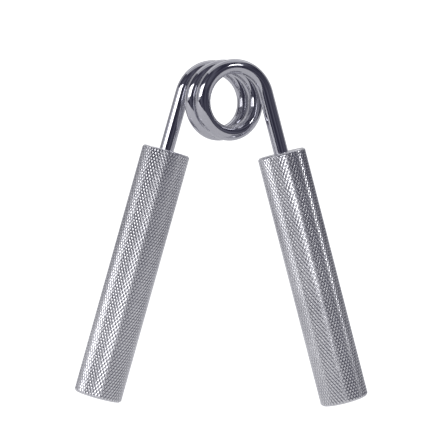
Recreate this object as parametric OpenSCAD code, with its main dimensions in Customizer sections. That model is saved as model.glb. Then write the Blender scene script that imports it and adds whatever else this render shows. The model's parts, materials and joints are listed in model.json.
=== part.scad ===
// Hand grip strengthener: a steel torsion spring with a knurled aluminium handle pressed on each leg.
// Origin: middle of the coil, on the hinge axis. X runs from the left handle to the right one,
// Y is the hinge axis, and Z points up, away from the handles.

/* [Spring] */
// Diameter of the round spring wire
wire_d = 5.7; // [4:0.1:6.5]
// Clear diameter inside the coil
coil_inner_d = 20.2; // [18:0.1:26]
// Distance from one turn to the next, centre to centre
coil_pitch = 8.65; // [7.5:0.05:10]
// Whole turns, on top of the part turn between the two legs
whole_turns = 2; // [1:1:4]
// Angle between the two handles at rest, seen square to the plane that they close in
arm_angle = 30.3; // [20:0.1:44]
// How far the coil's axis is turned from the hinge axis, which brings the two legs into line
coil_yaw = 26.4; // [15:0.1:35]

/* [Legs] */
// Bare wire between the coil and the left handle
left_leg_free = 23.7; // [15:0.1:40]
// Bare wire between the coil and the right handle
right_leg_free = 24.3; // [15:0.1:40]
// Length of wire held inside each handle
leg_held = 75; // [40:1:80]
// Chamfer on the cut end of each leg
leg_chamfer = 0.6; // [0.2:0.1:1.2]

/* [Handles] */
// Outer diameter, over the crests of the knurl
handle_d = 19; // [16:0.5:22]
// Length of each handle
handle_l = 100; // [90:1:120]
// Chamfer round both ends of each handle
handle_chamfer = 0.7; // [0.3:0.1:1.5]
// Chamfer round the mouth of the bore
mouth_chamfer = 0.4; // [0.2:0.1:1]
// Empty length left in the bore past the end of the leg
bore_spare = 2; // [0.5:0.5:6]
// Included angle of the drill point at the bottom of the bore
drill_angle = 118; // [90:1:135]

/* [Hidden] */
$fn = 96;

steel = "silver";
alloy = "lightgray";

wire_r = wire_d / 2;
coil_r = (coil_inner_d + wire_d) / 2;
rise = coil_pitch / (2 * PI);
handle_r = handle_d / 2;
bore_depth = leg_held + bore_spare;
drill_tip = wire_r / tan(drill_angle / 2);

// The coil stands in its own frame: coil_axis runs through its eye, from front to back,
// and coil_side runs across it, level with the ground.
coil_axis = [-sin(coil_yaw), cos(coil_yaw), 0];
coil_side = [cos(coil_yaw), sin(coil_yaw), 0];
up = [0, 0, 1];

// Each leg leaves the helix along its tangent. leg_turn is the angle, below the coil's level
// diameter, at which that tangent makes half of arm_angle with the vertical.
half_slope = tan(arm_angle / 2);
leg_turn = atan2(half_slope, cos(coil_yaw))
    - asin(rise / coil_r * sin(coil_yaw) / norm([cos(coil_yaw), half_slope]));
left_a = 180 - leg_turn;
right_a = leg_turn - 360 * whole_turns;
middle_a = (left_a + right_a) / 2;

// One ring of the wire's surface about every 6 degrees of turn, and 20 sides to a ring
rings = round((left_a - right_a) / 6);
sides = 20;

function unit(v) = v / norm(v);
function radial(a) = cos(a) * coil_side + sin(a) * up;
function tangent(a) =
    unit(coil_r * (cos(a) * up - sin(a) * coil_side) + rise * coil_axis);
function wire_centre(a) =
    coil_r * radial(a) + coil_pitch * (a - middle_a) / 360 * coil_axis;
function wire_ring(a) =
    let (out = radial(a), across = cross(tangent(a), out))
    [for (i = [0 : sides - 1])
        let (t = 360 * i / sides)
        wire_centre(a) + wire_r * (cos(t) * out + sin(t) * across)];

// The left leg runs from the back of the coil and the right leg from the front
left_start = wire_centre(left_a);
left_dir = tangent(left_a);
right_start = wire_centre(right_a);
right_dir = -tangent(right_a);

// Stands its children, drawn along +Z, at a point and along a direction
module along(start, dir) {
    translate(start)
        rotate([0, acos(dir.z), atan2(dir.y, dir.x)])
            children();
}

// Straight round wire with a chamfered far end
module leg(length) {
    rotate_extrude()
        polygon([
            [0, 0],
            [wire_r, 0],
            [wire_r, length - leg_chamfer],
            [wire_r - leg_chamfer, length],
            [0, length]
        ]);
}

// Turned bar with a blind bore in the end that faces the coil
module handle() {
    difference() {
        rotate_extrude()
            polygon([
                [0, 0],
                [handle_r - handle_chamfer, 0],
                [handle_r, handle_chamfer],
                [handle_r, handle_l - handle_chamfer],
                [handle_r - handle_chamfer, handle_l],
                [0, handle_l]
            ]);
        translate([0, 0, -1])
            cylinder(r = wire_r, h = bore_depth + 1);
        translate([0, 0, bore_depth])
            cylinder(r1 = wire_r, r2 = 0, h = drill_tip);
        translate([0, 0, -mouth_chamfer])
            cylinder(r1 = wire_r + 2 * mouth_chamfer, r2 = wire_r, h = 2 * mouth_chamfer);
    }
}

module spring_coil() {
    points = [for (i = [0 : rings]) each wire_ring(left_a + (right_a - left_a) * i / rings)];
    first_cap = [for (i = [0 : sides - 1]) i];
    last_cap = [for (i = [sides - 1 : -1 : 0]) rings * sides + i];
    walls = [for (k = [0 : rings - 1], i = [0 : sides - 1])
        let (j = (i + 1) % sides, low = k * sides, high = low + sides)
        [low + i, high + i, high + j, low + j]];
    color(steel)
        polyhedron(points, concat([first_cap], walls, [last_cap]), convexity = 6);
}

module spring_leg_left() {
    color(steel)
        along(left_start, left_dir)
            leg(left_leg_free + leg_held);
}

module spring_leg_right() {
    color(steel)
        along(right_start, right_dir)
            leg(right_leg_free + leg_held);
}

module handle_left() {
    color(alloy)
        along(left_start + left_leg_free * left_dir, left_dir)
            handle();
}

module handle_right() {
    color(alloy)
        along(right_start + right_leg_free * right_dir, right_dir)
            handle();
}

spring_coil();
spring_leg_left();
spring_leg_right();
handle_left();
handle_right();
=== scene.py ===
# Hand grip strengthener: chrome torsion spring with two knurled aluminium handles
import json
import math

import bpy
from mathutils import Matrix, Vector


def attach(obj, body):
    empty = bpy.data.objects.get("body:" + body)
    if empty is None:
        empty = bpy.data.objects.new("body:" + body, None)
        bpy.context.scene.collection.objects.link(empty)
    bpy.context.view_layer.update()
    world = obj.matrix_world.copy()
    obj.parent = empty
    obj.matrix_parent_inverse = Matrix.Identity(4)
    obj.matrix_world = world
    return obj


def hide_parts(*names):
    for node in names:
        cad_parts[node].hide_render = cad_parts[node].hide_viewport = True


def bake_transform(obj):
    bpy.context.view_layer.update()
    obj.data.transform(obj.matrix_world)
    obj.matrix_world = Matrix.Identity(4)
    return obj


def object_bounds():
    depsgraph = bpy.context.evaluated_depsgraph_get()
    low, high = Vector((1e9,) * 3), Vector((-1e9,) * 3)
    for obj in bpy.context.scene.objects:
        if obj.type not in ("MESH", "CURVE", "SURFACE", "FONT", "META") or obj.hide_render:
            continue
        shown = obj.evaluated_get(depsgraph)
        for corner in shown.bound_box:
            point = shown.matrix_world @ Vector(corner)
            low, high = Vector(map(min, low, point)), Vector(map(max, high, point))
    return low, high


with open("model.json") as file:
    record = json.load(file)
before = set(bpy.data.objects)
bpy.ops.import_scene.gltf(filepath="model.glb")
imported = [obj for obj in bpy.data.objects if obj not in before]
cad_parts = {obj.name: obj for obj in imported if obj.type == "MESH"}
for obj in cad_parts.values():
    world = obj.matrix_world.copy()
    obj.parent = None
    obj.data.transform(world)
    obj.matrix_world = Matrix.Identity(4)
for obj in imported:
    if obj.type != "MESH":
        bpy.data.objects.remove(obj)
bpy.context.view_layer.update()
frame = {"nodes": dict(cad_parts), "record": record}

mm = 0.001
up = Vector((0, 0, 1))
mounts = {m["name"]: m for m in frame["record"]["mounts"]}
print("frame loaded:", ", ".join(sorted(frame["nodes"])))


def feed(tree, socket, value):
    # another node's socket gets a link, anything else is typed in
    if isinstance(value, bpy.types.NodeSocket):
        tree.links.new(value, socket)
    elif value is not None:
        socket.default_value = value


def addNode(tree, kind, inputs=None, **settings):
    node = tree.nodes.new(kind)
    node.location = (180 * (len(tree.nodes) % 14), -260 * (len(tree.nodes) // 14))
    for name, value in settings.items():
        setattr(node, name, value)
    for key, value in (inputs or {}).items():
        feed(tree, node.inputs[key], value)
    return node


def calc(tree, operation, *values):
    node = addNode(tree, "ShaderNodeMath", operation=operation)
    for socket, value in zip(node.inputs, values):
        feed(tree, socket, value)
    return node.outputs[0]


def vectorCalc(tree, operation, first, second):
    node = addNode(tree, "ShaderNodeVectorMath", operation=operation)
    feed(tree, node.inputs[0], first)
    feed(tree, node.inputs["Scale"] if operation == "SCALE" else node.inputs[1], second)
    return node.outputs["Value"] if operation in ("LENGTH", "DOT_PRODUCT") else node.outputs["Vector"]


def joinXyz(tree, x, y, z):
    return addNode(tree, "ShaderNodeCombineXYZ", {0: x, 1: y, 2: z}).outputs[0]


def newGeometryTree(name, sockets):
    # sockets: name -> (type, default); returns the tree and its input node
    tree = bpy.data.node_groups.new(name, "GeometryNodeTree")
    for label, (kind, default) in sockets.items():
        socket = tree.interface.new_socket(label, in_out="INPUT", socket_type=kind)
        if default is not None:
            socket.default_value = default
    tree.interface.new_socket("Geometry", in_out="OUTPUT", socket_type="NodeSocketGeometry")
    return tree, tree.nodes.new("NodeGroupInput").outputs


def finishTree(tree, geometry, material):
    realized = addNode(tree, "GeometryNodeRealizeInstances", {"Geometry": geometry})
    painted = addNode(tree, "GeometryNodeSetMaterial",
                      {"Geometry": realized.outputs[0], "Material": material})
    result = tree.nodes.new("NodeGroupOutput")
    tree.links.new(painted.outputs[0], result.inputs[0])


def meshFromTree(name, tree, values):
    # runs the tree once and keeps its result as a plain mesh
    holder = bpy.data.objects.new(name + "Holder", bpy.data.meshes.new(name + "Empty"))
    bpy.context.collection.objects.link(holder)
    modifier = holder.modifiers.new("shape", "NODES")
    modifier.node_group = tree
    sockets = {s.name: s.identifier for s in tree.interface.items_tree if s.in_out == "INPUT"}
    for label, value in values.items():
        modifier[sockets[label]] = value
    holder.update_tag()
    evaluated = holder.evaluated_get(bpy.context.evaluated_depsgraph_get())
    mesh = bpy.data.meshes.new_from_object(evaluated)
    mesh.name = name
    bpy.data.objects.remove(holder, do_unlink=True)
    piece = bpy.data.objects.new(name, mesh)
    bpy.context.collection.objects.link(piece)
    return piece


def newShaderGroup(name, inputs, outputs):
    group = bpy.data.node_groups.new(name, "ShaderNodeTree")
    for label, (kind, default) in inputs.items():
        socket = group.interface.new_socket(label, in_out="INPUT", socket_type=kind)
        if default is not None:
            socket.default_value = default
    for label, kind in outputs.items():
        group.interface.new_socket(label, in_out="OUTPUT", socket_type=kind)
    return group, group.nodes.new("NodeGroupInput").outputs, group.nodes.new("NodeGroupOutput").inputs


def makeGrain():
    # streaks along the third coordinate, fine specks, and a slow cloudiness
    group, given, result = newShaderGroup(
        "metalGrain",
        {"Place": ("NodeSocketVector", None), "Streak Scale": ("NodeSocketFloat", 900.0),
         "Streak Stretch": ("NodeSocketFloat", 0.02), "Speck Scale": ("NodeSocketFloat", 1500.0),
         "Cloud Scale": ("NodeSocketFloat", 60.0)},
        {"Streaks": "NodeSocketFloat", "Specks": "NodeSocketFloat", "Clouds": "NodeSocketFloat"})
    split = addNode(group, "ShaderNodeSeparateXYZ", {0: given["Place"]})
    drawn = calc(group, "MULTIPLY", split.outputs[2], given["Streak Stretch"])
    stretched = joinXyz(group, split.outputs[0], split.outputs[1], drawn)
    streaks = addNode(group, "ShaderNodeTexNoise",
                      {"Vector": stretched, "Scale": given["Streak Scale"], "Detail": 4.0, "Roughness": 0.6})
    specks = addNode(group, "ShaderNodeTexVoronoi",
                     {"Vector": given["Place"], "Scale": given["Speck Scale"], "Randomness": 1.0})
    dot = addNode(group, "ShaderNodeMapRange",
                  {"Value": specks.outputs["Distance"], "From Min": 0.04, "From Max": 0.16,
                   "To Min": 1.0, "To Max": 0.0})
    clouds = addNode(group, "ShaderNodeTexNoise",
                     {"Vector": given["Place"], "Scale": given["Cloud Scale"], "Detail": 3.0})
    feed(group, result["Streaks"], streaks.outputs[0])
    feed(group, result["Specks"], dot.outputs[0])
    feed(group, result["Clouds"], clouds.outputs[0])
    return group


def makeWearAndGrooveShade():
    # blends a hollow colour, painted shade in the grooves, and a worn crest colour by a height from 0 to 1,
    # broken up by noise
    group, given, result = newShaderGroup(
        "crestWearGrooveShade",
        {"Height": ("NodeSocketFloat", 1.0), "Noise": ("NodeSocketFloat", 0.5),
         "Hollow Color": ("NodeSocketColor", (0.2, 0.2, 0.22, 1)),
         "Metal Color": ("NodeSocketColor", (0.7, 0.7, 0.72, 1)),
         "Crest Color": ("NodeSocketColor", (0.9, 0.9, 0.92, 1)),
         "Hollow End": ("NodeSocketFloat", 0.45), "Crest Start": ("NodeSocketFloat", 0.75)},
        {"Color": "NodeSocketColor", "Crest": "NodeSocketFloat"})
    shift = calc(group, "MULTIPLY", calc(group, "SUBTRACT", given["Noise"], 0.5), 0.5)
    level = calc(group, "ADD", given["Height"], shift)
    hollow = addNode(group, "ShaderNodeMapRange",
                     {"Value": level, "From Min": 0.0, "From Max": given["Hollow End"],
                      "To Min": 1.0, "To Max": 0.0})
    crest = addNode(group, "ShaderNodeMapRange",
                    {"Value": level, "From Min": given["Crest Start"], "From Max": 1.0})
    # darkens the metal towards the hollow colour low in the grooves: painted shade
    lower = addNode(group, "ShaderNodeMix",
                    {0: hollow.outputs[0], 6: given["Metal Color"], 7: given["Hollow Color"]},
                    data_type="RGBA")
    upper = addNode(group, "ShaderNodeMix",
                    {0: crest.outputs[0], 6: lower.outputs[2], 7: given["Crest Color"]}, data_type="RGBA")
    feed(group, result["Color"], upper.outputs[2])
    feed(group, result["Crest"], crest.outputs[0])
    return group


grainGroup = makeGrain()
wearAndGrooveShadeGroup = makeWearAndGrooveShade()


def newMaterial(name):
    material = bpy.data.materials.new(name)
    material.use_nodes = True
    tree = material.node_tree
    tree.nodes.clear()
    shader = addNode(tree, "ShaderNodeBsdfPrincipled")
    output = addNode(tree, "ShaderNodeOutputMaterial")
    tree.links.new(shader.outputs[0], output.inputs[0])
    return material, tree, shader


def placeGroup(tree, group, **values):
    node = addNode(tree, "ShaderNodeGroup", node_tree=group)
    for label, value in values.items():
        feed(tree, node.inputs[label.replace("_", " ")], value)
    return node.outputs


def readAttribute(tree, name):
    return addNode(tree, "ShaderNodeAttribute", attribute_name=name, attribute_type="GEOMETRY").outputs


spring = {
    "wireDia": 5.7 * mm,
    "eyeDia": 20.2 * mm,
    "pitch": 8.65 * mm,
    "wholeTurns": 2,
    "heldInHandle": 75 * mm,
    "rings": 420,
    "sides": 48,
    "plateColor": (0.64, 0.64, 0.69, 1),
    "plateCloud": (0.57, 0.57, 0.62, 1),
    "roughness": 0.03,
    "haze": 0.05,            # roughness that drawing marks add
    "pitHaze": 0.12,         # roughness that tiny pits add
    "markDepth": 0.02 * mm,
}


def chromePlate():
    material, tree, shader = newMaterial("chromePlate")
    place = readAttribute(tree, "wirePlace")["Vector"]
    grain = placeGroup(tree, grainGroup, Place=place, Streak_Scale=1800.0, Streak_Stretch=0.015,
                       Speck_Scale=420.0, Cloud_Scale=90.0)
    tint = addNode(tree, "ShaderNodeMix",
                   {0: grain["Clouds"], 6: spring["plateColor"], 7: spring["plateCloud"]}, data_type="RGBA")
    feed(tree, shader.inputs["Base Color"], tint.outputs[2])
    shader.inputs["Metallic"].default_value = 1.0
    haze = calc(tree, "MULTIPLY", grain["Streaks"], spring["haze"])
    pits = calc(tree, "MULTIPLY", grain["Specks"], spring["pitHaze"])
    feed(tree, shader.inputs["Roughness"],
         calc(tree, "ADD", spring["roughness"], calc(tree, "ADD", haze, pits)))
    height = calc(tree, "SUBTRACT", calc(tree, "MULTIPLY", grain["Streaks"], 0.25), grain["Specks"])
    bump = addNode(tree, "ShaderNodeBump",
                   {"Height": height, "Strength": 0.12, "Distance": spring["markDepth"]})
    feed(tree, shader.inputs["Normal"], bump.outputs[0])
    return material


def bentWireTree():
    # round wire along a helix, running on along its tangent at both ends
    tree, given = newGeometryTree("bentWire", {
        "Wire Radius": ("NodeSocketFloat", 0.003), "Coil Radius": ("NodeSocketFloat", 0.013),
        "Rise": ("NodeSocketFloat", 0.001), "First Angle": ("NodeSocketFloat", 3.0),
        "Last Angle": ("NodeSocketFloat", -12.0), "First Leg": ("NodeSocketFloat", 0.1),
        "Last Leg": ("NodeSocketFloat", 0.1), "Side": ("NodeSocketVector", (1, 0, 0)),
        "Axis": ("NodeSocketVector", (0, 1, 0)), "First Direction": ("NodeSocketVector", (0, 0, -1)),
        "Last Direction": ("NodeSocketVector", (0, 0, -1)), "Rings": ("NodeSocketInt", 300),
        "Sides": ("NodeSocketInt", 32), "Material": ("NodeSocketMaterial", None)})
    sweep = calc(tree, "SUBTRACT", given["First Angle"], given["Last Angle"])
    slant = calc(tree, "SQRT", calc(tree, "ADD", calc(tree, "POWER", given["Coil Radius"], 2.0),
                                    calc(tree, "POWER", given["Rise"], 2.0)))
    arc = calc(tree, "MULTIPLY", sweep, slant)
    whole = calc(tree, "ADD", arc, calc(tree, "ADD", given["First Leg"], given["Last Leg"]))

    line = addNode(tree, "GeometryNodeCurvePrimitiveLine")
    path = addNode(tree, "GeometryNodeResampleCurve", {"Curve": line.outputs[0], "Count": given["Rings"]})
    index = addNode(tree, "GeometryNodeInputIndex").outputs[0]
    share = calc(tree, "DIVIDE", index, calc(tree, "SUBTRACT", given["Rings"], 1.0))
    along = calc(tree, "SUBTRACT", calc(tree, "MULTIPLY", share, whole), given["First Leg"])

    onCoil = addNode(tree, "ShaderNodeClamp", {"Value": calc(tree, "DIVIDE", along, arc)}).outputs[0]
    angle = calc(tree, "SUBTRACT", given["First Angle"], calc(tree, "MULTIPLY", onCoil, sweep))
    middle = calc(tree, "MULTIPLY", calc(tree, "ADD", given["First Angle"], given["Last Angle"]), 0.5)
    across = vectorCalc(tree, "SCALE", given["Side"],
                        calc(tree, "MULTIPLY", given["Coil Radius"], calc(tree, "COSINE", angle)))
    lift = joinXyz(tree, 0.0, 0.0, calc(tree, "MULTIPLY", given["Coil Radius"], calc(tree, "SINE", angle)))
    advance = vectorCalc(tree, "SCALE", given["Axis"],
                         calc(tree, "MULTIPLY", given["Rise"], calc(tree, "SUBTRACT", angle, middle)))
    before = calc(tree, "MAXIMUM", calc(tree, "MULTIPLY", along, -1.0), 0.0)
    after = calc(tree, "MAXIMUM", calc(tree, "SUBTRACT", along, arc), 0.0)
    legs = vectorCalc(tree, "ADD", vectorCalc(tree, "SCALE", given["First Direction"], before),
                      vectorCalc(tree, "SCALE", given["Last Direction"], after))
    helix = vectorCalc(tree, "ADD", vectorCalc(tree, "ADD", across, lift), advance)
    bent = addNode(tree, "GeometryNodeSetPosition",
                   {"Geometry": path.outputs[0], "Position": vectorCalc(tree, "ADD", helix, legs)})
    marked = addNode(tree, "GeometryNodeStoreNamedAttribute",
                     {"Geometry": bent.outputs[0], "Name": "alongWire", "Value": along},
                     data_type="FLOAT", domain="POINT")

    circle = addNode(tree, "GeometryNodeCurvePrimitiveCircle",
                     {"Resolution": given["Sides"], "Radius": given["Wire Radius"]})
    turn = addNode(tree, "GeometryNodeSplineParameter").outputs["Factor"]
    ring = addNode(tree, "GeometryNodeStoreNamedAttribute",
                   {"Geometry": circle.outputs[0], "Name": "aroundWire",
                    "Value": calc(tree, "MULTIPLY", turn, math.tau)},
                   data_type="FLOAT", domain="POINT")
    skin = addNode(tree, "GeometryNodeCurveToMesh",
                   {"Curve": marked.outputs[0], "Profile Curve": ring.outputs[0], "Fill Caps": True})

    # where each point would be on the wire before it was bent
    around = addNode(tree, "GeometryNodeInputNamedAttribute", {"Name": "aroundWire"}).outputs[0]
    length = addNode(tree, "GeometryNodeInputNamedAttribute", {"Name": "alongWire"}).outputs[0]
    straight = joinXyz(tree, calc(tree, "MULTIPLY", given["Wire Radius"], calc(tree, "COSINE", around)),
                       calc(tree, "MULTIPLY", given["Wire Radius"], calc(tree, "SINE", around)), length)
    placed = addNode(tree, "GeometryNodeStoreNamedAttribute",
                     {"Geometry": skin.outputs[0], "Name": "wirePlace", "Value": straight},
                     data_type="FLOAT_VECTOR", domain="POINT")
    # the walls are quads and are shaded smooth, and the two caps are not
    corners = addNode(tree, "GeometryNodeInputMeshFaceNeighbors").outputs["Vertex Count"]
    isWall = addNode(tree, "FunctionNodeCompare",
                     {"A": corners, "B": 4}, data_type="INT", operation="EQUAL")
    smooth = addNode(tree, "GeometryNodeSetShadeSmooth",
                     {"Geometry": placed.outputs[0], "Shade Smooth": isWall.outputs[0]}, domain="FACE")
    finishTree(tree, smooth.outputs[0], given["Material"])
    return tree


def makeSpring():
    leftGrip, rightGrip = mounts["handle_left_grip"], mounts["handle_right_grip"]
    leftDir, rightDir = Vector(leftGrip["axis"]), Vector(rightGrip["axis"])
    coilAxis = -Vector(mounts["coil_eye"]["axis"])     # from the front of the coil to its back
    coilSide = coilAxis.cross(up)
    coilRadius = (spring["eyeDia"] + spring["wireDia"]) / 2
    rise = spring["pitch"] / math.tau
    # the left leg is the tangent of the helix at its first angle, so its slope gives that angle
    legTurn = math.asin(-leftDir.dot(coilSide) * math.hypot(coilRadius, rise) / coilRadius)
    firstAngle = math.pi - legTurn
    lastAngle = legTurn - math.tau * spring["wholeTurns"]
    halfDepth = rise * (firstAngle - lastAngle) / 2
    outward = up * math.sin(firstAngle) + coilSide * math.cos(firstAngle)
    legStart = coilAxis * halfDepth + coilRadius * outward

    def legLength(grip, start):
        top = Vector(grip["pos_m"]) - Vector(grip["axis"]) * handle["length"] / 2
        return (top - start).length + spring["heldInHandle"]

    piece = meshFromTree("spring", bentWireTree(), {
        "Wire Radius": spring["wireDia"] / 2, "Coil Radius": coilRadius, "Rise": rise,
        "First Angle": firstAngle, "Last Angle": lastAngle,
        "First Leg": legLength(leftGrip, legStart),
        "Last Leg": legLength(rightGrip, Vector((-legStart.x, -legStart.y, legStart.z))),
        "Side": coilSide, "Axis": coilAxis, "First Direction": leftDir, "Last Direction": rightDir,
        "Rings": spring["rings"], "Sides": spring["sides"], "Material": chromePlate()})
    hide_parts("spring_coil", "spring_leg_left", "spring_leg_right")
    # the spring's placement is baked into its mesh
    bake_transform(piece)
    print("spring:", len(piece.data.polygons), "faces")
    return piece


handle = {
    "length": 100 * mm,
    "chamfer": 0.7 * mm,
    "boreDepth": 77 * mm,
    "mouthChamfer": 0.4 * mm,
    "drillAngle": math.radians(118),
    "starts": 46,            # grooves round the bar, each way
    "rows": 44,              # diamonds along the bar
    "stepsPerDiamond": 6,
    "weldDistance": 0.002 * mm,
    "knurlDepth": 0.17 * mm,
    "crestFlat": 0.30,       # share of each diamond that stays at full height
    "metalColor": (0.86, 0.86, 0.89, 1),
    "crestColor": (0.96, 0.96, 0.97, 1),
    # dark colour painted into the knurl grooves as shade
    "grooveShadeColor": (0.20, 0.20, 0.24, 1),
    "roughness": 0.20,
    "streakHaze": 0.08,      # roughness that the fine streaks add
    "crestPolish": 0.04,     # roughness that handling has taken off the crests
    "facingPitch": 0.18 * mm,
    "markDepth": 0.03 * mm,
}


def knurledAluminium():
    material, tree, shader = newMaterial("knurledAluminium")
    place = readAttribute(tree, "barPlace")["Vector"]
    crestHeight = readAttribute(tree, "knurlHeight")["Fac"]
    grain = placeGroup(tree, grainGroup, Place=place, Streak_Scale=700.0, Streak_Stretch=0.3,
                       Speck_Scale=900.0, Cloud_Scale=45.0)
    # base colour: painted shade dark in the grooves, a lighter worn colour on the crests
    wearAndShade = placeGroup(tree, wearAndGrooveShadeGroup, Height=crestHeight, Noise=grain["Clouds"],
                      Hollow_Color=handle["grooveShadeColor"], Metal_Color=handle["metalColor"],
                      Crest_Color=handle["crestColor"], Hollow_End=0.35, Crest_Start=0.7)
    feed(tree, shader.inputs["Base Color"], wearAndShade["Color"])
    shader.inputs["Metallic"].default_value = 1.0
    rough = calc(tree, "ADD", handle["roughness"],
                 calc(tree, "MULTIPLY", grain["Streaks"], handle["streakHaze"]))
    feed(tree, shader.inputs["Roughness"],
         calc(tree, "SUBTRACT", rough, calc(tree, "MULTIPLY", wearAndShade["Crest"], handle["crestPolish"])))
    # facing marks left by the lathe: rings about the bar's axis, which show on the flat ends
    radius = vectorCalc(tree, "LENGTH", vectorCalc(tree, "MULTIPLY", place, (1, 1, 0)), None)
    rings = calc(tree, "SINE", calc(tree, "MULTIPLY", radius, math.tau / handle["facingPitch"]))
    ringHeight = calc(tree, "MULTIPLY", rings, calc(tree, "SUBTRACT", 1.0, crestHeight))
    height = calc(tree, "ADD", calc(tree, "MULTIPLY", grain["Streaks"], 0.6),
                  calc(tree, "MULTIPLY", ringHeight, 0.15))
    bump = addNode(tree, "ShaderNodeBump",
                   {"Height": height, "Strength": 0.3, "Distance": handle["markDepth"]})
    feed(tree, shader.inputs["Normal"], bump.outputs[0])
    return material


def knurledBarTree():
    # a bar along +Z with its bored end at the origin: one grid, wrapped round and closed at both ends
    tree, given = newGeometryTree("knurledBar", {
        "Radius": ("NodeSocketFloat", 0.0095), "Length": ("NodeSocketFloat", 0.1),
        "Chamfer": ("NodeSocketFloat", 0.0007), "Starts": ("NodeSocketInt", 46),
        "Rows": ("NodeSocketInt", 44), "Steps": ("NodeSocketInt", 6),
        "Knurl Depth": ("NodeSocketFloat", 0.0003), "Crest Flat": ("NodeSocketFloat", 0.4),
        "Bore Radius": ("NodeSocketFloat", 0.003), "Bore Depth": ("NodeSocketFloat", 0.077),
        "Bore Tip": ("NodeSocketFloat", 0.0017), "Mouth Chamfer": ("NodeSocketFloat", 0.0004),
        "Material": ("NodeSocketMaterial", None)})
    boreRows, endRows = 4.0, 1.0      # rows of the grid before and after the knurl
    columns = calc(tree, "MULTIPLY", given["Starts"], given["Steps"])
    knurlRows = calc(tree, "MULTIPLY", given["Rows"], given["Steps"])
    allRows = calc(tree, "ADD", knurlRows, boreRows + endRows)
    grid = addNode(tree, "GeometryNodeMeshGrid",
                   {"Size X": columns, "Size Y": allRows, "Vertices X": calc(tree, "ADD", columns, 1.0),
                    "Vertices Y": calc(tree, "ADD", allRows, 1.0)})
    place = addNode(tree, "GeometryNodeInputPosition").outputs[0]
    corner = joinXyz(tree, calc(tree, "MULTIPLY", columns, 0.5), calc(tree, "MULTIPLY", allRows, 0.5), 0.0)
    counted = addNode(tree, "ShaderNodeSeparateXYZ", {0: vectorCalc(tree, "ADD", place, corner)}).outputs
    knurlRow = calc(tree, "SUBTRACT", counted[1], boreRows)

    # quads that a groove crosses are split along it, or the groove would be bridged
    column, row = calc(tree, "FLOOR", counted[0]), calc(tree, "FLOOR", knurlRow)
    rightHand = calc(tree, "FLOORED_MODULO", calc(tree, "SUBTRACT", row, column), given["Steps"])
    leftHand = calc(tree, "FLOORED_MODULO", calc(tree, "ADD", calc(tree, "ADD", row, column), 1.0),
                    given["Steps"])
    geometry = grid.outputs[0]
    for onGroove, method in ((rightHand, "FIXED"), (leftHand, "FIXED_ALTERNATE")):
        picked = addNode(tree, "FunctionNodeCompare", {"A": onGroove, "B": 0.5},
                         data_type="FLOAT", operation="LESS_THAN")
        split = addNode(tree, "GeometryNodeTriangulate",
                        {"Mesh": geometry, "Selection": picked.outputs[0]}, quad_method=method)
        geometry = split.outputs[0]

    # height of the diamond pattern, 0 in a groove and 1 on a crest
    def tooth(sign):
        phase = calc(tree, "DIVIDE", calc(tree, "ADD", knurlRow, calc(tree, "MULTIPLY", counted[0], sign)),
                     given["Steps"])
        wave = calc(tree, "ABSOLUTE", calc(tree, "SUBTRACT", calc(tree, "MULTIPLY",
                    calc(tree, "FRACT", calc(tree, "ADD", phase, 1000.0)), 2.0), 1.0))
        return calc(tree, "SUBTRACT", 1.0, wave)

    peak = calc(tree, "DIVIDE", calc(tree, "MINIMUM", tooth(1.0), tooth(-1.0)),
                calc(tree, "SUBTRACT", 1.0, given["Crest Flat"]))
    peak = calc(tree, "MINIMUM", peak, 1.0)
    share = addNode(tree, "ShaderNodeClamp", {"Value": calc(tree, "DIVIDE", knurlRow, knurlRows)}).outputs[0]
    alongBar = calc(tree, "MULTIPLY", share, given["Length"])
    fromEnd = calc(tree, "MINIMUM", alongBar, calc(tree, "SUBTRACT", given["Length"], alongBar))
    crest = calc(tree, "SUBTRACT", given["Radius"],
                 calc(tree, "MULTIPLY", given["Knurl Depth"], calc(tree, "SUBTRACT", 1.0, peak)))
    cone = calc(tree, "ADD", calc(tree, "SUBTRACT", given["Radius"], given["Chamfer"]), fromEnd)
    outer = calc(tree, "MINIMUM", crest, cone)

    def rowIs(number):
        return calc(tree, "COMPARE", counted[1], number, 0.4)

    # rows 0 to 3 are the drill tip, the foot and the mouth of the bore, and the edge of its chamfer
    onKnurl = calc(tree, "MULTIPLY", calc(tree, "GREATER_THAN", knurlRow, -0.5),
                   calc(tree, "LESS_THAN", knurlRow, calc(tree, "ADD", knurlRows, 0.5)))
    # the chamfers, the ends and the bore are left at 0.5, which is plain metal
    isCut = calc(tree, "MULTIPLY", onKnurl, calc(tree, "LESS_THAN", crest, cone))
    shown = calc(tree, "MULTIPLY_ADD", isCut, calc(tree, "SUBTRACT", peak, 0.5), 0.5)
    inBore = calc(tree, "ADD", rowIs(1.0), rowIs(2.0))
    mouth = calc(tree, "MULTIPLY", rowIs(3.0),
                 calc(tree, "ADD", given["Bore Radius"], given["Mouth Chamfer"]))
    radius = calc(tree, "ADD", calc(tree, "MULTIPLY", outer, onKnurl),
                  calc(tree, "ADD", calc(tree, "MULTIPLY", inBore, given["Bore Radius"]), mouth))
    tip = calc(tree, "MULTIPLY", rowIs(0.0), calc(tree, "ADD", given["Bore Depth"], given["Bore Tip"]))
    foot = calc(tree, "MULTIPLY", rowIs(1.0), given["Bore Depth"])
    edge = calc(tree, "MULTIPLY", rowIs(2.0), given["Mouth Chamfer"])
    depth = calc(tree, "ADD", alongBar, calc(tree, "ADD", tip, calc(tree, "ADD", foot, edge)))

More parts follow.
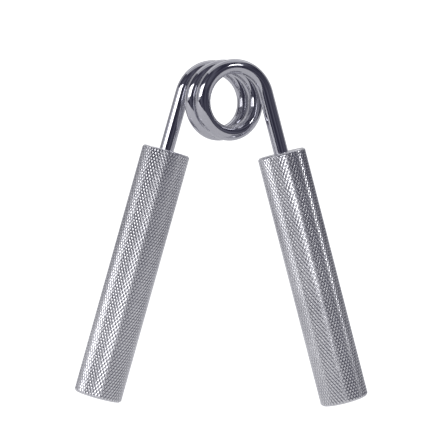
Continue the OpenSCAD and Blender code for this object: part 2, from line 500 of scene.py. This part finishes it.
    turn = calc(tree, "MULTIPLY", calc(tree, "DIVIDE", counted[0], columns), math.tau)
    wrapped = joinXyz(tree, calc(tree, "MULTIPLY", radius, calc(tree, "COSINE", turn)),
                      calc(tree, "MULTIPLY", radius, calc(tree, "SINE", turn)), depth)
    marked = addNode(tree, "GeometryNodeStoreNamedAttribute",
                     {"Geometry": geometry, "Name": "knurlHeight", "Value": shown},
                     data_type="FLOAT", domain="POINT")
    rolled = addNode(tree, "GeometryNodeSetPosition", {"Geometry": marked.outputs[0], "Position": wrapped})
    closed = addNode(tree, "GeometryNodeMergeByDistance",
                     {"Geometry": rolled.outputs[0], "Distance": handle["weldDistance"]})
    placed = addNode(tree, "GeometryNodeStoreNamedAttribute",
                     {"Geometry": closed.outputs[0], "Name": "barPlace",
                      "Value": addNode(tree, "GeometryNodeInputPosition").outputs[0]},
                     data_type="FLOAT_VECTOR", domain="POINT")
    flat = addNode(tree, "GeometryNodeSetShadeSmooth",
                   {"Geometry": placed.outputs[0], "Shade Smooth": False}, domain="FACE")
    finishTree(tree, flat.outputs[0], given["Material"])
    return tree


def makeHandles():
    tree, material = knurledBarTree(), knurledAluminium()
    for side in ("left", "right"):
        grip = mounts[f"handle_{side}_grip"]
        axis = Vector(grip["axis"])
        boreRadius = spring["wireDia"] / 2
        bar = meshFromTree(f"knurled_handle_{side}", tree, {
            "Radius": grip["dims"]["r_mm"] * mm, "Length": handle["length"], "Chamfer": handle["chamfer"],
            "Starts": handle["starts"], "Rows": handle["rows"], "Steps": handle["stepsPerDiamond"],
            "Knurl Depth": handle["knurlDepth"], "Crest Flat": handle["crestFlat"],
            "Bore Radius": boreRadius, "Bore Depth": handle["boreDepth"],
            "Bore Tip": boreRadius / math.tan(handle["drillAngle"] / 2),
            "Mouth Chamfer": handle["mouthChamfer"], "Material": material})
        top = Vector(grip["pos_m"]) - axis * handle["length"] / 2
        bar.data.transform(Matrix.Translation(top) @ axis.to_track_quat("Z", "Y").to_matrix().to_4x4())
        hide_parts(f"handle_{side}")
        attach(bar, f"{side}_arm")
        print(f"{side} handle:", len(bar.data.polygons), "faces")


makeSpring()
makeHandles()


studio = {
    "floorFront": 0.26,                       # the floor ends close to the camera's side
    "floorLeft": 1.1,
    "floorRight": 0.34,
    "backdropHalfWidth": 3.6,
    "backdropAt": 1.6,                        # far enough for a camera to look from the back
    "backdropHeight": 4.0,
    "sweepRadius": 1.0,
    "sweepSteps": 24,
    "paperColor": (0.45, 0.45, 0.47, 1),
    "paperGlow": 0.38,                        # keeps the metal's lower half from going dark
    "paperSeen": 0.7,                         # added to the glow where the camera sees the paper itself
    "roomColor": (0.036, 0.035, 0.058, 1),    # the dark side of the room, behind the camera
    "roomClutter": (0.15, 0.15, 0.19, 1),     # what stands about in it
    "clutterScale": 2.6,
    "clutterEdges": (0.42, 0.68),             # noise level where clutter starts and where it is full
    "roomSeen": (1.0, 1.0, 1.0, 1),           # where the camera sees past the paper
    "aim": (0.0, 0.0, -0.05),                 # the point that every light faces
    "lights": {                               # place, size, power in watts
        "softboxCore": ((-0.60, -0.50, 0.20), (0.50, 0.38), 2.0),
        "softboxSpill": ((-0.838, -0.250, 0.15), (0.9, 0.46), 0.7),
        "ceilingPanel": ((0.0, 0.25, 1.1), (1.7, 1.3), 3.2),
        "frontLamp": ((0.53, -0.56, 0.345), (0.14, 0.15), 0.42),
    },
}


def makeSweep():
    # floor that curves up into a backdrop, and widens towards it
    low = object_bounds()[0].z
    radius, wall = studio["sweepRadius"], studio["backdropAt"]
    outline = [(-studio["floorFront"], low)]
    for i in range(studio["sweepSteps"] + 1):
        a = math.pi / 2 * i / studio["sweepSteps"]
        outline.append((wall + radius * (math.sin(a) - 1), low + radius * (1 - math.cos(a))))
    outline.append((wall, low + studio["backdropHeight"]))
    points = []
    for y, z in outline:
        share = (y - outline[0][0]) / (wall - outline[0][0])
        for reach, side in ((studio["floorLeft"], -1), (studio["floorRight"], 1)):
            points.append((side * (reach + (studio["backdropHalfWidth"] - reach) * share), y, z))
    faces = [(2 * i, 2 * i + 1, 2 * i + 3, 2 * i + 2) for i in range(len(outline) - 1)]
    mesh = bpy.data.meshes.new("paperSweep")
    mesh.from_pydata(points, [], faces)
    for face in mesh.polygons:
        face.use_smooth = True
    sweep = bpy.data.objects.new("paperSweep", mesh)
    bpy.context.collection.objects.link(sweep)
    material, tree, shader = newMaterial("whitePaper")
    shader.inputs["Base Color"].default_value = studio["paperColor"]
    shader.inputs["Roughness"].default_value = 0.9
    shader.inputs["Emission Color"].default_value = (1, 1, 1, 1)
    seen = addNode(tree, "ShaderNodeLightPath").outputs["Is Camera Ray"]
    feed(tree, shader.inputs["Emission Strength"],
         calc(tree, "MULTIPLY_ADD", seen, studio["paperSeen"], studio["paperGlow"]))
    mesh.materials.append(material)


def makeRoom():
    world = bpy.data.worlds.new("studioRoom")
    bpy.context.scene.world = world
    world.use_nodes = True
    tree = world.node_tree
    seen = addNode(tree, "ShaderNodeLightPath").outputs["Is Camera Ray"]
    clutter = addNode(tree, "ShaderNodeTexNoise",
                      {"Vector": addNode(tree, "ShaderNodeTexCoord").outputs["Generated"],
                       "Scale": studio["clutterScale"], "Detail": 3.0, "Roughness": 0.55})
    least, most = studio["clutterEdges"]
    amount = addNode(tree, "ShaderNodeMapRange",
                     {"Value": clutter.outputs[0], "From Min": least, "From Max": most})
    room = addNode(tree, "ShaderNodeMix", {0: amount.outputs[0], 6: studio["roomColor"],
                                           7: studio["roomClutter"]}, data_type="RGBA")
    shade = addNode(tree, "ShaderNodeMix",
                    {0: seen, 6: room.outputs[2], 7: studio["roomSeen"]}, data_type="RGBA")
    feed(tree, tree.nodes["Background"].inputs[0], shade.outputs[2])


def makeLights():
    target = Vector(studio["aim"])
    for name, (place, size, power) in studio["lights"].items():
        data = bpy.data.lights.new(name, "AREA")
        data.shape = "RECTANGLE"
        data.size, data.size_y = size
        data.energy = power
        lamp = bpy.data.objects.new(name, data)
        lamp.location = place
        lamp.visible_camera = False
        lamp.rotation_euler = (target - Vector(place)).to_track_quat("-Z", "Y").to_euler()
        bpy.context.collection.objects.link(lamp)


makeSweep()
makeRoom()
makeLights()

view = {
    "azimuth": math.radians(-3.38),
    "elevation": math.radians(2.14),
    "roll": math.radians(0.59),
    "distance": 0.857,
    "belowCoil": 0.04824,     # the point that the camera looks at, below the middle of the coil
    "lens": 176.8,
}


def makeCamera():
    a, e, roll = view["azimuth"], view["elevation"], view["roll"]
    back = Vector((math.sin(a) * math.cos(e), -math.cos(a) * math.cos(e), math.sin(e)))
    right = Vector((math.cos(a), math.sin(a), 0))
    top = back.cross(right)
    camRight = right * math.cos(roll) + top * math.sin(roll)
    camTop = top * math.cos(roll) - right * math.sin(roll)
    data = bpy.data.cameras.new("camera")
    data.lens = view["lens"]
    data.sensor_width = 36
    data.clip_start, data.clip_end = 0.01, 20
    data.dof.use_dof = False
    camera = bpy.data.objects.new("camera", data)
    pose = Matrix((camRight, camTop, back)).transposed().to_4x4()
    pose.translation = back * view["distance"] - camTop * view["belowCoil"]
    camera.matrix_world = pose
    bpy.context.collection.objects.link(camera)
    bpy.context.scene.camera = camera


makeCamera()
bpy.context.scene.view_settings.view_transform = "Standard"
print("studio and camera ready")
